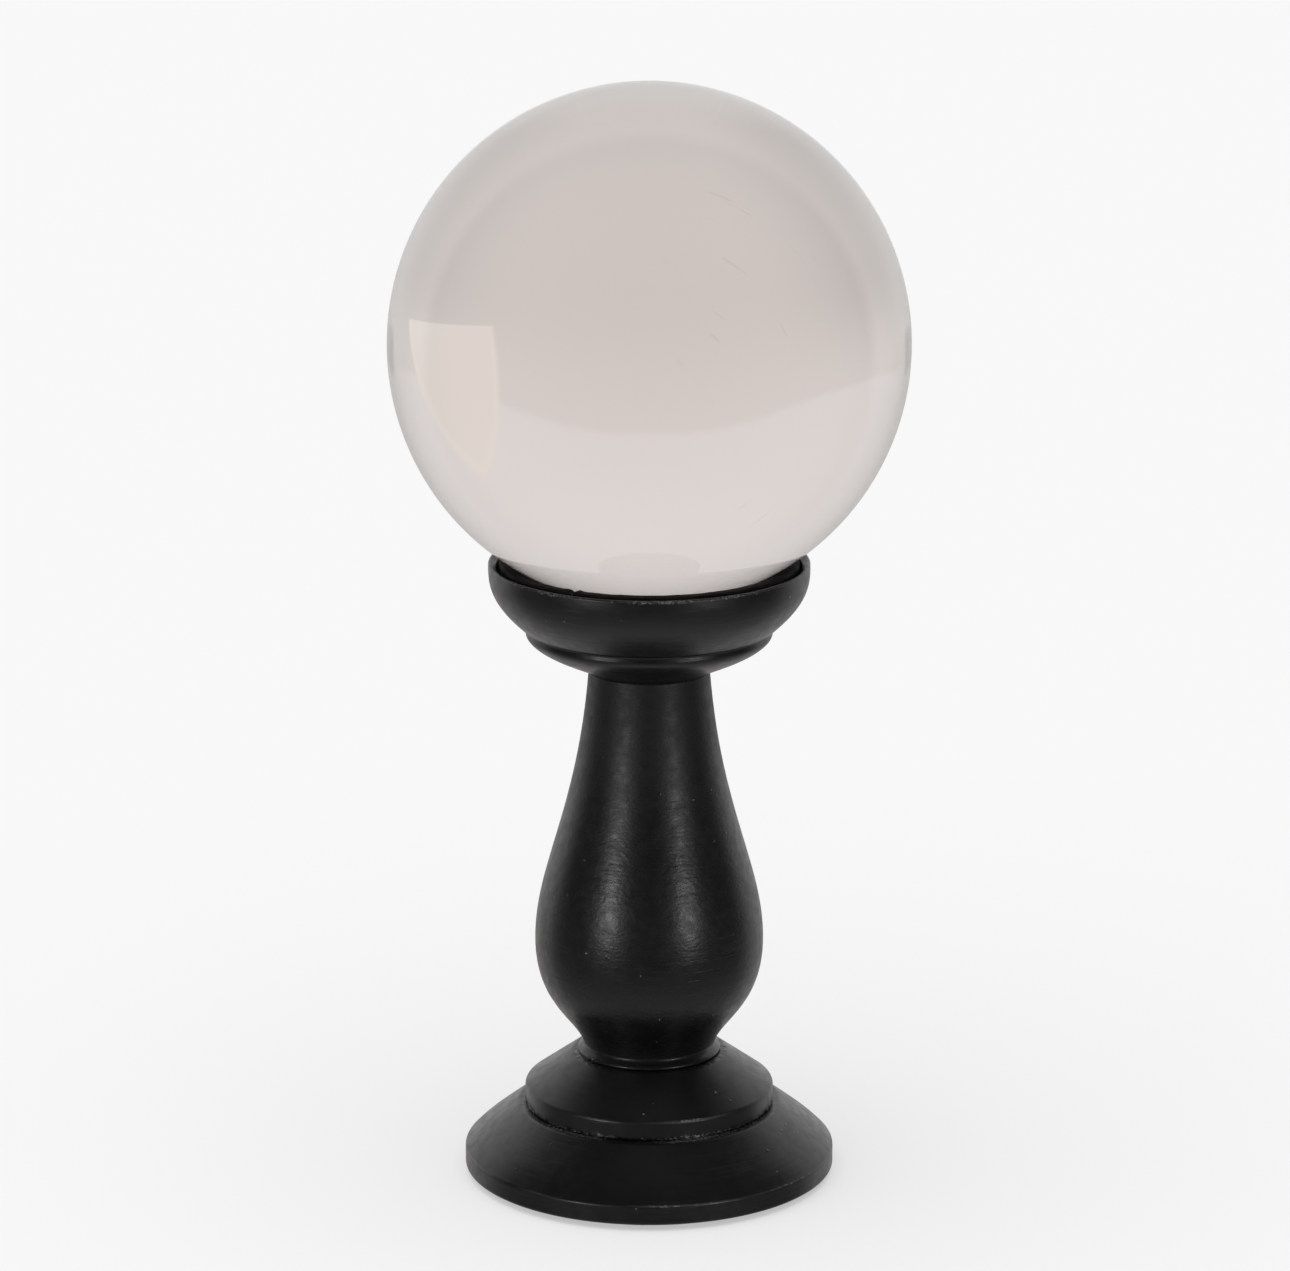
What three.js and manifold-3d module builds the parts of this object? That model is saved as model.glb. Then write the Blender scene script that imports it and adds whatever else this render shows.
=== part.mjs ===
// A solid glass ball on a turned wooden stand.
// Millimetres, +Z up. The origin is under the middle of the foot pad, on the table.
// Heights below are measured from the underside of the wooden foot, unless a comment says otherwise.

import * as THREE from "three";
import { mergeVertices } from "three/addons/utils/BufferGeometryUtils.js";
import Module from "manifold-3d";

// Driving dimensions.
const BALL_RADIUS = 55;
const CUP_RADIUS = 34.15;
const BELLY_RADIUS = 24.6;
const NECK_RADIUS = 14.3;
const PLINTH_RADIUS = 26.9;
const FOOT_RADIUS = 40;

const FOOT_TOP = 14;
const PLINTH_TOP = 25.7;
const NECK_HEIGHT = 28;
const BELLY_HEIGHT = 51;
const PILLAR_TOP = 111;
const LIP_HEIGHT = 134.8;

// Where the ball passes through the plane of the lip, which sets how deep it sits.
const SEAT_RADIUS = 28.9;
const BALL_CENTRE = LIP_HEIGHT + Math.sqrt(BALL_RADIUS ** 2 - SEAT_RADIUS ** 2);

const PAD_THICKNESS = 1.2;
const PAD_INSET = 3.5;

// Gaps between pieces.
const SEAM = 0.1; // glued or resting faces
const FIT = 0.3; // a piece inside its socket, and the ball in its seat

// Turned shapes have a whole number of facets in every 30 degrees.
const FACETS = 48;
const SMALL_FACETS = 24;

// Joinery.
const LOWER_SPIGOT = { radius: 9, length: 8 };
const UPPER_SPIGOT = { radius: 8, length: 5 };
const CUP_SCREW = { radius: 2, length: 30, headRadius: 4, headHeight: 2.2, tip: 3 };
const BASE_SCREW = { radius: 2.25, length: 60, headRadius: 4.4, headHeight: 2.5, tip: 4 };
const DOWEL = { radius: 3, length: 14, chamfer: 0.7, offset: 14 };
const COUNTERBORE = { radius: 8, depth: 3.5 };
const DISH = { radius: 15.5, floor: 121, mouthRadius: 23.2 };
const REBATE = { radius: 32.3, floor: LIP_HEIGHT - 4.6 };
const BUTT_JOINT = { width: 0.5, angle: -121 };

const CUP_SCREW_FACE = DISH.floor - 0.2;
const BASE_SCREW_FACE = 0.7;

const wasm = await Module();
wasm.setup();

// Outlines. Each is a list of points (distance from the axis, height).
// They run anticlockwise, so that the faces point out.

function point(radius, height) {
  return new THREE.Vector2(radius, height);
}

function curve(start, startHandle, endHandle, end, steps) {
  return new THREE.CubicBezierCurve(start, startHandle, endHandle, end).getPoints(steps);
}

// A rounded corner from one point to another.
function round(start, corner, end, steps = 2) {
  return new THREE.QuadraticBezierCurve(start, corner, end).getPoints(steps);
}

// Drops a point that repeats the one before it.
function outline(...pieces) {
  const points = pieces.flat();
  return points.filter((p, i) => i === 0 || p.distanceTo(points[i - 1]) > 1e-6);
}

function closed(points) {
  return [...points, points[0].clone()];
}

// Solids.

function toSolid(geometry) {
  geometry.deleteAttribute("normal");
  geometry.deleteAttribute("uv");
  const merged = mergeVertices(geometry, 1e-4);
  const corners = merged.index.array;
  const triangles = [];
  for (let i = 0; i < corners.length; i += 3) {
    const [a, b, c] = corners.slice(i, i + 3);
    // A lathe leaves triangles without width where its outline meets the axis.
    if (a !== b && b !== c && c !== a) triangles.push(a, b, c);
  }
  return new wasm.Manifold(
    new wasm.Mesh({
      numProp: 3,
      vertProperties: new Float32Array(merged.attributes.position.array),
      triVerts: new Uint32Array(triangles),
    }),
  );
}

function turned(points, facets = FACETS) {
  return toSolid(new THREE.LatheGeometry(points, facets).rotateX(Math.PI / 2));
}

function block(width, depth, height, x, y, z, turn = 0) {
  return toSolid(new THREE.BoxGeometry(width, depth, height).translate(x, y, z).rotateZ(turn));
}

function named(name, solid, material) {
  const { vertProperties, triVerts } = solid.getMesh();
  const geometry = new THREE.BufferGeometry();
  geometry.setAttribute("position", new THREE.BufferAttribute(vertProperties, 3));
  geometry.setIndex(new THREE.BufferAttribute(triVerts, 1));
  geometry.computeVertexNormals();
  const mesh = new THREE.Mesh(geometry, material);
  mesh.name = name;
  return mesh;
}

// Finishes.

function clearGlass() {
  return new THREE.MeshStandardMaterial({
    color: 0xe4dedb,
    roughness: 0.02,
    metalness: 0,
    transparent: true,
    opacity: 0.35,
  });
}

function blackPaint() {
  return new THREE.MeshStandardMaterial({ color: 0x0c0c0d, roughness: 0.35, metalness: 0 });
}

function blackFlock() {
  return new THREE.MeshStandardMaterial({ color: 0x151516, roughness: 0.9, metalness: 0 });
}

function greenFelt() {
  return new THREE.MeshStandardMaterial({ color: 0x1d2f26, roughness: 1, metalness: 0 });
}

function beech() {
  return new THREE.MeshStandardMaterial({ color: 0xc79a68, roughness: 0.7, metalness: 0 });
}

function zincSteel() {
  return new THREE.MeshStandardMaterial({ color: 0xb9b6a8, roughness: 0.35, metalness: 1 });
}

// The ball.
function crystalBall() {
  const ball = named(
    "crystal_ball",
    toSolid(new THREE.SphereGeometry(BALL_RADIUS, FACETS, FACETS / 2).rotateX(Math.PI / 2)),
    clearGlass(),
  );
  ball.position.z = BALL_CENTRE;
  return ball;
}

// A ring in the rebate of the cup.
// Its inner face follows the ball, and its two ends meet in a butt joint.
function seatRing() {
  const ledge = 0.5; // how far the ring stands back from the mouth of the dish
  const sunk = 0.2; // how far its top lies below the lip
  const crown = 1;
  const inner = DISH.mouthRadius + ledge;
  const outer = REBATE.radius - FIT;
  const floor = REBATE.floor + SEAM;
  const top = LIP_HEIGHT - sunk;
  const bed = BALL_RADIUS + FIT;
  const bedHeight = (radius) => BALL_CENTRE - Math.sqrt(bed ** 2 - radius ** 2);
  const brim = Math.sqrt(bed ** 2 - (BALL_CENTRE - top) ** 2);
  const bedSteps = 4;
  const bedPoints = [];
  for (let i = 0; i <= bedSteps; i += 1) {
    const radius = brim + ((inner - brim) * i) / bedSteps;
    bedPoints.push(point(radius, bedHeight(radius)));
  }
  const ring = turned(
    closed(
      outline(
        point(inner, floor),
        point(outer, floor),
        round(point(outer, top - crown), point(outer, top), point(outer - crown, top)),
        bedPoints,
      ),
    ),
  );
  const reach = REBATE.radius + 2;
  const cut = block(
    reach,
    BUTT_JOINT.width,
    2 * (top - floor),
    reach / 2,
    0,
    (top + floor) / 2,
    THREE.MathUtils.degToRad(BUTT_JOINT.angle),
  );
  return named("seat_ring", ring.subtract(cut), blackFlock());
}

// The outside of the cup: a bead swells from the pillar, then a cove, then the bowl up to the lip.
function cupOutside(bottom) {
  const beadRadius = 26.3;
  const beadTop = 119.4;
  const bowlTop = 133;
  const lipEdge = 0.8;
  const beadStart = point(12.9, bottom);
  const beadEnd = point(beadRadius, beadTop);
  const bowlStart = point(27.2, 121);
  const bowlEnd = point(CUP_RADIUS, bowlTop);
  const bead = {
    lower: point(beadStart.x + 0.5, bottom + 1),
    upper: point(beadRadius, beadTop - 3.2),
  };
  const cove = {
    start: point(beadRadius - 0.4, beadTop + 0.5),
    deepest: point(beadRadius - 0.6, bowlStart.y - 0.4),
  };
  const bowl = {
    lower: point(bowlStart.x + 5.2, bowlStart.y + 4.6),
    upper: point(CUP_RADIUS, bowlTop - 4.3),
  };
  return [
    curve(beadStart, bead.lower, bead.upper, beadEnd, 6),
    round(cove.start, cove.deepest, bowlStart),
    curve(bowlStart, bowl.lower, bowl.upper, bowlEnd, 7),
    round(
      point(CUP_RADIUS, LIP_HEIGHT - lipEdge),
      point(CUP_RADIUS, LIP_HEIGHT),
      point(CUP_RADIUS - lipEdge, LIP_HEIGHT),
      3,
    ),
  ].flat();
}

// The ball cup. Inside are the rebate for the ring and the dish under the ball.
// The screw goes through its floor.
function ballCup() {
  const bottom = PILLAR_TOP + SEAM;
  const innerEdge = 0.5;
  const headClearance = 0.3;
  const socket = UPPER_SPIGOT.radius + FIT;
  const socketTop = PILLAR_TOP + UPPER_SPIGOT.length + 2 * FIT;
  const hole = CUP_SCREW.radius + FIT;
  const headHole = CUP_SCREW.headRadius + FIT;
  const sinkBottom = CUP_SCREW_FACE - CUP_SCREW.headHeight;
  const dishWall = point(DISH.mouthRadius, DISH.floor + 4.5);
  const dishFoot = point(DISH.radius + 5, DISH.floor);
  const points = outline(
    point(socket, bottom),
    cupOutside(bottom),
    round(
      point(REBATE.radius + innerEdge, LIP_HEIGHT),
      point(REBATE.radius, LIP_HEIGHT),
      point(REBATE.radius, LIP_HEIGHT - innerEdge),
    ),
    point(REBATE.radius, REBATE.floor),
    curve(
      point(DISH.mouthRadius, REBATE.floor),
      dishWall,
      dishFoot,
      point(DISH.radius, DISH.floor),
      5,
    ),
    point(headHole, DISH.floor),
    point(headHole, CUP_SCREW_FACE - headClearance),
    point(hole, sinkBottom),
    point(hole, socketTop),
    point(socket, socketTop),
  );
  return named("ball_cup", turned(closed(points)), blackPaint());
}

// The pillar: a spigot and a collar at the bottom, the neck, the belly, then a long taper.
// The upper spigot goes into the cup.
function pillar() {
  const bottom = PLINTH_TOP + SEAM;
  const collarRadius = 15.45;
  const collarHeight = 0.9;
  const collarEdge = 0.4;
  const topRadius = 12.93;
  const overrun = 1.5; // depth of a screw hole past the tip
  const lowerHole = BASE_SCREW.radius + FIT;
  const lowerHoleTop = BASE_SCREW_FACE + BASE_SCREW.length + overrun;
  const upperHole = CUP_SCREW.radius + FIT;
  const upperHoleBottom = CUP_SCREW_FACE - CUP_SCREW.length - overrun;
  const spigotBottom = PLINTH_TOP - LOWER_SPIGOT.length;
  const spigotTop = PILLAR_TOP + UPPER_SPIGOT.length;
  const neck = point(NECK_RADIUS, NECK_HEIGHT);
  const belly = point(BELLY_RADIUS, BELLY_HEIGHT);
  const cove = {
    start: point(collarRadius - 0.1, bottom + collarHeight),
    deepest: point(NECK_RADIUS, bottom + 1.2),
  };
  const flare = {
    lower: point(NECK_RADIUS + 2.2, NECK_HEIGHT + 6.2),
    upper: point(BELLY_RADIUS, BELLY_HEIGHT - 13.8),
  };
  const taper = {
    lower: point(BELLY_RADIUS, BELLY_HEIGHT + 16.2),
    upper: point(topRadius + 2.46, PILLAR_TOP - 31.8),
    top: point(topRadius, PILLAR_TOP),
  };
  const points = outline(
    point(0, lowerHoleTop),
    point(lowerHole, lowerHoleTop - lowerHole),
    point(lowerHole, spigotBottom),
    point(LOWER_SPIGOT.radius, spigotBottom),
    point(LOWER_SPIGOT.radius, bottom),
    round(
      point(collarRadius - collarEdge, bottom),
      point(collarRadius, bottom),
      point(collarRadius, bottom + collarEdge),
    ),
    round(cove.start, cove.deepest, neck),
    curve(neck, flare.lower, flare.upper, belly, 9),
    curve(belly, taper.lower, taper.upper, taper.top, 13),
    point(UPPER_SPIGOT.radius, PILLAR_TOP),
    point(UPPER_SPIGOT.radius, spigotTop),
    point(upperHole, spigotTop),
    point(upperHole, upperHoleBottom + upperHole),
    point(0, upperHoleBottom),
  );
  return named("pillar", turned(points), blackPaint());
}

function dowelHoles() {
  const radius = DOWEL.radius + FIT;
  const length = DOWEL.length + 2 * FIT;
  const hole = (side) =>
    toSolid(
      new THREE.CylinderGeometry(radius, radius, length, SMALL_FACETS)
        .rotateX(Math.PI / 2)
        .translate(side * DOWEL.offset, 0, FOOT_TOP),
    );
  return hole(-1).add(hole(1));
}

// The upper disc of the base: a band, then a straight slope up to the pillar.
function plinthDisc() {
  const bottom = FOOT_TOP + SEAM;
  const bandTop = 18.2;
  const slopeTop = 16.6;
  const edge = 0.5;
  const drop = 0.35; // how far the slope falls over the width of a rounded edge
  const hole = BASE_SCREW.radius + FIT;
  const socket = LOWER_SPIGOT.radius + FIT;
  const socketFloor = PLINTH_TOP - LOWER_SPIGOT.length - FIT;
  const points = outline(
    point(hole, bottom),
    round(
      point(PLINTH_RADIUS - edge, bottom),
      point(PLINTH_RADIUS, bottom),
      point(PLINTH_RADIUS, bottom + edge),
    ),
    round(
      point(PLINTH_RADIUS, bandTop - edge),
      point(PLINTH_RADIUS, bandTop),
      point(PLINTH_RADIUS - edge, bandTop + drop),
    ),
    round(
      point(slopeTop + edge, PLINTH_TOP - drop),
      point(slopeTop, PLINTH_TOP),
      point(slopeTop - edge, PLINTH_TOP),
    ),
    point(socket, PLINTH_TOP),
    point(socket, socketFloor),
    point(hole, socketFloor),
  );
  return named("plinth_disc", turned(closed(points)).subtract(dowelHoles()), blackPaint());
}

// The lower disc of the base, with a recess below for the washer and the head of the long screw.
function footDisc() {
  const bandTop = 4.3;
  const bandEdge = 0.5;
  const topRadius = 28.3;
  const topEdge = 0.4;
  const lowerEdge = 1.8;
  const hole = BASE_SCREW.radius + FIT;
  const slope = {
    outer: point(topRadius + 6, 9.35),
    middle: point(topRadius + 3, 11.9),
    inner: point(topRadius + topEdge, FOOT_TOP - 0.3),
  };
  const points = outline(
    point(COUNTERBORE.radius, 0),
    round(point(FOOT_RADIUS - lowerEdge, 0), point(FOOT_RADIUS, 0), point(FOOT_RADIUS, lowerEdge), 4),
    round(
      point(FOOT_RADIUS, bandTop - bandEdge),
      point(FOOT_RADIUS, bandTop),
      point(FOOT_RADIUS - bandEdge, bandTop + 0.8 * bandEdge),
    ),
    round(slope.outer, slope.middle, slope.inner),
    point(topRadius - topEdge, FOOT_TOP),
    point(hole, FOOT_TOP),
    point(hole, COUNTERBORE.depth),
    point(COUNTERBORE.radius, COUNTERBORE.depth),
  );
  return named("foot_disc", turned(closed(points)).subtract(dowelHoles()), blackPaint());
}

// A countersunk wood screw with a cross recess, its face up at the height 0 and its tip below.
function woodScrew(name, { radius, length, headRadius, headHeight, tip }) {
  const rim = 0.3;
  const blunting = { radius: radius * 0.35, height: tip * 0.3 };
  const points = outline(
    point(0, -length),
    point(blunting.radius, blunting.height - length),
    point(radius, tip - length),
    point(radius, -headHeight),
    point(headRadius, -rim),
    point(headRadius, 0),
    point(0, 0),
  );
  const slot = { length: headRadius * 1.1, width: radius * 0.4, depth: headHeight * 0.8 };
  const one = block(slot.length, slot.width, 2 * slot.depth, 0, 0, 0);
  const other = block(slot.width, slot.length, 2 * slot.depth, 0, 0, 0);
  const screw = turned(points, SMALL_FACETS).subtract(one).subtract(other);
  return named(name, screw, zincSteel());
}

function cupScrew() {
  const screw = woodScrew("cup_screw", CUP_SCREW);
  screw.position.z = CUP_SCREW_FACE;
  return screw;
}

function baseScrew() {
  const screw = woodScrew("base_screw", BASE_SCREW);
  screw.rotation.x = Math.PI;
  screw.position.z = BASE_SCREW_FACE;
  return screw;
}

// A cup washer that carries the head of the long screw in the recess under the foot.
function baseWasher() {
  const seat = COUNTERBORE.depth - SEAM;
  const face = BASE_SCREW_FACE + 0.1;
  const outer = 7;
  const mouth = BASE_SCREW.headRadius + 0.4;
  const crown = {
    start: point(mouth + 0.5, face),
    middle: point(outer - 0.6, face + 0.3),
    end: point(outer - 0.2, seat - 0.6),
  };
  const points = outline(
    point(mouth, face),
    round(crown.start, crown.middle, crown.end),
    point(outer, seat),
    point(BASE_SCREW.radius + 0.5, seat),
  );
  return named("base_washer", turned(closed(points), SMALL_FACETS), zincSteel());
}

// A wooden dowel that keeps the plinth from turning on the foot.
function locatingDowel(name, side) {
  const half = DOWEL.length / 2;
  const points = outline(
    point(0, -half),
    point(DOWEL.radius - DOWEL.chamfer, -half),
    point(DOWEL.radius, DOWEL.chamfer - half),
    point(DOWEL.radius, half - DOWEL.chamfer),
    point(DOWEL.radius - DOWEL.chamfer, half),
    point(0, half),
  );
  const dowel = named(name, turned(points, SMALL_FACETS), beech());
  dowel.position.set(side * DOWEL.offset, 0, FOOT_TOP);
  return dowel;
}

// A felt disc under the foot.
function footPad() {
  const radius = FOOT_RADIUS - PAD_INSET;
  const bevel = 0.3;
  const points = outline(
    point(0, 0),
    point(radius - bevel, 0),
    point(radius, bevel),
    point(radius, PAD_THICKNESS - bevel),
    point(radius - bevel, PAD_THICKNESS),
    point(0, PAD_THICKNESS),
  );
  const pad = named("foot_pad", turned(points), greenFelt());
  pad.position.z = -PAD_THICKNESS - SEAM;
  return pad;
}

// The whole object, lifted so that the underside of the pad is at height 0.
const crystalBallOnStand = new THREE.Group();
crystalBallOnStand.position.z = PAD_THICKNESS + SEAM;
crystalBallOnStand.add(
  crystalBall(),
  seatRing(),
  ballCup(),
  cupScrew(),
  pillar(),
  plinthDisc(),
  locatingDowel("locating_dowel_left", -1),
  locatingDowel("locating_dowel_right", 1),
  footDisc(),
  baseWasher(),
  baseScrew(),
  footPad(),
);

export default crystalBallOnStand;
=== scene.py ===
"""A clear glass ball on a turned black wooden stand.

Heights and radii in the classes are in millimetres. Heights run from the underside of the wooden foot,
as a turner would mark them on a rod, and Datum turns them into metres in the frame.
"""

import logging
import math
from collections.abc import Callable
from dataclasses import dataclass
from enum import Enum
from typing import Self

import bpy
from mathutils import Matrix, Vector, noise


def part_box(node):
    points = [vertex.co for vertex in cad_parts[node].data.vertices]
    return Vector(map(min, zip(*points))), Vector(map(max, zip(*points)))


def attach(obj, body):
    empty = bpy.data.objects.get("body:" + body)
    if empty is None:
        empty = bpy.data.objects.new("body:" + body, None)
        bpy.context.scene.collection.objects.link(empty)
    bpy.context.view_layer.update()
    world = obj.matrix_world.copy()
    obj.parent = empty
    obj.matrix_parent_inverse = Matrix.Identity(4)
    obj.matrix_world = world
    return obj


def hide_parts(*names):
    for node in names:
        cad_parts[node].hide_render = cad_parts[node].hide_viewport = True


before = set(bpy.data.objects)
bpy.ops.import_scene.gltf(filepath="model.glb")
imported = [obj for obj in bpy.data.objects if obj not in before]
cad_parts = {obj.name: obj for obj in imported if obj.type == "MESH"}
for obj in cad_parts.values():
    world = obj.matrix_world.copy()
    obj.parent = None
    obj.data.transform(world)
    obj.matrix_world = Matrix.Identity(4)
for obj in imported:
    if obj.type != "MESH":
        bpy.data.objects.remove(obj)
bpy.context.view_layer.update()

LOG = logging.getLogger("crystal_ball")

MM = 0.001
FULL_TURN = 2 * math.pi
DOUBLES = 1.5e-6
SAME_SPOT = 0.004
SMOOTH_ANGLE = math.radians(38)
WHITE = (1.0, 1.0, 1.0)

Spot = tuple[float, float]
Outline = list[Spot]
Ring = tuple[float, float, float]
Colour = tuple[float, float, float]
Piece = bpy.types.Object
Socket = bpy.types.NodeSocket
Sockets = dict[str, Socket]


class Body(Enum):
    """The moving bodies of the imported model."""

    STAND = "stand"
    SEAT = "seat"
    BALL = "ball"


class Slot(Enum):
    """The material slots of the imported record."""

    GLASS = "clear_glass"
    PAINT = "black_paint"
    FLOCK = "black_flock"
    STEEL = "zinc_steel"
    BEECH = "beech"
    FELT = "green_felt"


class Nap(Enum):
    """How the fibres of a soft finish stand."""

    FLOCKED = "flocked"
    PRESSED = "pressed"


@dataclass(frozen=True)
class Datum:
    """The heights that every piece is set out from, taken from the frame."""

    foot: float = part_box("foot_disc")[0][2]
    ball_low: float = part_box("crystal_ball")[0][2]
    ball_high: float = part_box("crystal_ball")[1][2]

    def height(self, millimetres: float) -> float:
        """Turns a height above the foot's underside into metres in the frame."""
        return self.foot + millimetres * MM

    @property
    def ball_centre(self) -> float:
        """The height of the ball's centre, in metres."""
        return (self.ball_low + self.ball_high) / 2

    @property
    def ball_radius(self) -> float:
        """The radius of the ball, in metres."""
        return (self.ball_high - self.ball_low) / 2


DATUM = Datum()


# Node trees.


def rgba(colour: Colour) -> tuple[float, float, float, float]:
    """Adds a full alpha to a colour."""
    return (*colour, 1.0)


@dataclass
class Recipe:
    """Adds and joins nodes in one tree."""

    tree: bpy.types.NodeTree

    def add(self, kind: str, inputs: dict | None = None, **settings: object) -> bpy.types.Node:
        """Adds a node.

        Args:
            kind: The node's type name.
            inputs: Socket name or number to a value, or to the output that feeds it.
            **settings: Properties of the node.

        Returns:
            The new node.
        """
        node = self.tree.nodes.new(kind)
        for name, value in settings.items():
            setattr(node, name, value)
        for socket, value in (inputs or {}).items():
            if isinstance(value, Socket):
                self.tree.links.new(value, node.inputs[socket])
            else:
                node.inputs[socket].default_value = value
        return node

    def math(self, operation: str, first: object, second: object = 0.0) -> Socket:
        """Adds a Math node and returns its result."""
        return self.add("ShaderNodeMath", {0: first, 1: second}, operation=operation).outputs[0]

    def plus(self, first: object, second: object) -> Socket:
        """Adds two values."""
        return self.math("ADD", first, second)

    def less(self, first: object, second: object) -> Socket:
        """Takes the second value from the first."""
        return self.math("SUBTRACT", first, second)

    def times(self, result: object, *factors: object) -> Socket:
        """Multiplies a value by each of some factors in turn.

        Args:
            result: The value.
            *factors: The factors.

        Returns:
            The product.
        """
        for factor in factors:
            result = self.math("MULTIPLY", result, factor)
        return result

    def noise(self, vector: Socket, scale: object, detail: float = 2.0) -> Socket:
        """Adds a noise and returns its value, about 0.5 on average."""
        inputs = {"Vector": vector, "Scale": scale, "Detail": detail}
        return self.add("ShaderNodeTexNoise", inputs).outputs[0]

    def ramp(self, value: object, low: float, high: float, start: object = 0, end: object = 1) -> Socket:
        """Turns the range low to high into start to end with soft shoulders, and returns the result."""
        inputs = {"Value": value, "From Min": low, "From Max": high, "To Min": start, "To Max": end}
        return self.add("ShaderNodeMapRange", inputs, interpolation_type="SMOOTHSTEP").outputs[0]

    def stretched(self, vector: Socket, across: float, along: float) -> Socket:
        """Scales a vector across the axis and along it, and returns it."""
        inputs = {0: vector, 1: (across, across, along)}
        return self.add("ShaderNodeVectorMath", inputs, operation="MULTIPLY").outputs[0]

    def mix(self, factor: object, first: Socket | Colour, second: Socket | Colour) -> Socket:
        """Mixes two colours and returns the result."""
        first, second = (rgba(part) if isinstance(part, tuple) else part for part in (first, second))
        return self.add("ShaderNodeMix", {0: factor, 6: first, 7: second}, data_type="RGBA").outputs[2]


class NodeGroup(Recipe):
    """A shader node group that several finishes share."""

    name = ""
    inputs: dict[str, float] = {}
    outputs: tuple[str, ...] = ()

    def __init__(self) -> None:
        """Makes the group's tree, its sockets and what is inside it."""
        super().__init__(bpy.data.node_groups.new(self.name, "ShaderNodeTree"))
        face = self.tree.interface
        face.new_socket("Vector", in_out="INPUT", socket_type="NodeSocketVector")
        for name, value in self.inputs.items():
            socket = face.new_socket(name, in_out="INPUT", socket_type="NodeSocketFloat")
            socket.default_value = value
        for name in self.outputs:
            face.new_socket(name, in_out="OUTPUT", socket_type="NodeSocketFloat")
        self.given = self.add("NodeGroupInput").outputs
        self.add("NodeGroupOutput", self.build())

    def build(self) -> Sockets:
        """Builds the inside of the group and returns what feeds its outputs."""
        raise NotImplementedError


class TurningMarks(NodeGroup):
    """Rings that the gouge and the abrasive left round the axis, and that show through the paint."""

    name = "turning_marks"
    inputs = {"Pitch": 900.0, "Breaks": 60.0}
    outputs = ("Height", "Lines")

    def build(self) -> Sockets:
        """Makes rings by height, which fade in and out round the piece.

        Returns:
            The height of the rings, and a mask of a few crisp lines.
        """
        along = self.stretched(self.given["Vector"], 0.03, 1.0)
        rings = self.noise(along, self.given["Pitch"], 3.0)
        lines = self.noise(along, self.times(self.given["Pitch"], 3.1), 1.0)
        patch = self.ramp(self.noise(self.given["Vector"], self.given["Breaks"], 1.0), 0.45, 0.6)
        return {"Height": rings, "Lines": self.times(self.ramp(lines, 0.62, 0.7), patch)}


class OrangePeel(NodeGroup):
    """The skin of brushed paint: small flat dimples, longer round the piece than up it."""

    name = "orange_peel"
    inputs = {"Scale": 1800.0}
    outputs = ("Height",)

    def build(self) -> Sockets:
        """Adds two sizes of dimple.

        Returns:
            The height of the dimples.
        """
        lying = self.stretched(self.given["Vector"], 0.62, 1.0)
        small = self.noise(lying, self.given["Scale"], 2.5)
        large = self.noise(lying, self.times(self.given["Scale"], 0.36), 1.0)
        return {"Height": self.plus(small, self.times(large, 0.9))}


class EdgeWearAndHighlight(NodeGroup):
    """Rubbed spots along an arris, and a thin painted highlight line along it. The arris value is 1 on the
    edge and falls to 0 beside it.
    """

    name = "edge_wear"
    inputs = {"Arris": 0.0, "Spots": 700.0, "Amount": 0.5}
    outputs = ("Mask", "Line")

    def build(self) -> Sockets:
        """Breaks the arris up into spots and stretches, and draws a painted highlight line along it.

        Returns:
            A mask of the rubbed spots, and one of the thin painted highlight line between them.
        """
        arris = self.given["Arris"]
        spots = self.noise(self.given["Vector"], self.given["Spots"], 3.0)
        stretches = self.noise(self.given["Vector"], 55.0, 1.0)
        bite = self.less(self.plus(spots, stretches), 1.16)
        bite = self.plus(bite, self.times(self.given["Amount"], 0.36))
        mask = self.ramp(self.times(bite, arris), 0.03, 0.12)
        # The line is a painted highlight along the arris.
        line = self.times(self.ramp(arris, 0.5, 0.95), self.ramp(stretches, 0.4, 0.62))
        return {"Mask": mask, "Line": line}


class Specks(NodeGroup):
    """Scattered dots: dust caught in paint, or the pits of a polished ball."""

    name = "specks"
    inputs = {"Spacing": 160.0, "Size": 0.12, "Share": 0.35}
    outputs = ("Mask", "Soft")

    def build(self) -> Sockets:
        """Puts a dot in some of the cells of a Voronoi pattern.

        Returns:
            A mask of the dots, and the same with soft shoulders.
        """
        cells = {"Vector": self.given["Vector"], "Scale": self.given["Spacing"]}
        dots = self.add("ShaderNodeTexVoronoi", cells).outputs
        chosen = self.add("ShaderNodeSeparateColor", {0: dots["Color"]}).outputs[0]
        kept = self.math("LESS_THAN", chosen, self.given["Share"])
        size = self.times(self.given["Size"], self.plus(chosen, 0.45))
        near = self.math("DIVIDE", dots["Distance"], size)
        return {
            "Mask": self.times(self.ramp(near, 1.0, 0.6), kept),
            "Soft": self.times(self.ramp(near, 2.6, 0.4), kept),
        }


class Fibres(NodeGroup):
    """Short fibres of flock or felt."""

    name = "fibres"
    inputs = {"Scale": 1800.0, "Clumps": 220.0}
    outputs = ("Height", "Shade")

    def build(self) -> Sockets:
        """Lays ridged fibres over soft clumps.

        Returns:
            The height of the nap, and how light it is.
        """
        curl = self.noise(self.given["Vector"], self.given["Scale"], 4.0)
        ridge = self.math("ABSOLUTE", self.less(curl, 0.5))
        clumps = self.noise(self.given["Vector"], self.given["Clumps"], 2.0)
        height = self.less(self.times(clumps, 0.8), self.times(ridge, 3.0))
        return {"Height": height, "Shade": self.ramp(self.plus(clumps, self.times(ridge, 1.5)), 0.45, 0.95)}


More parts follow.
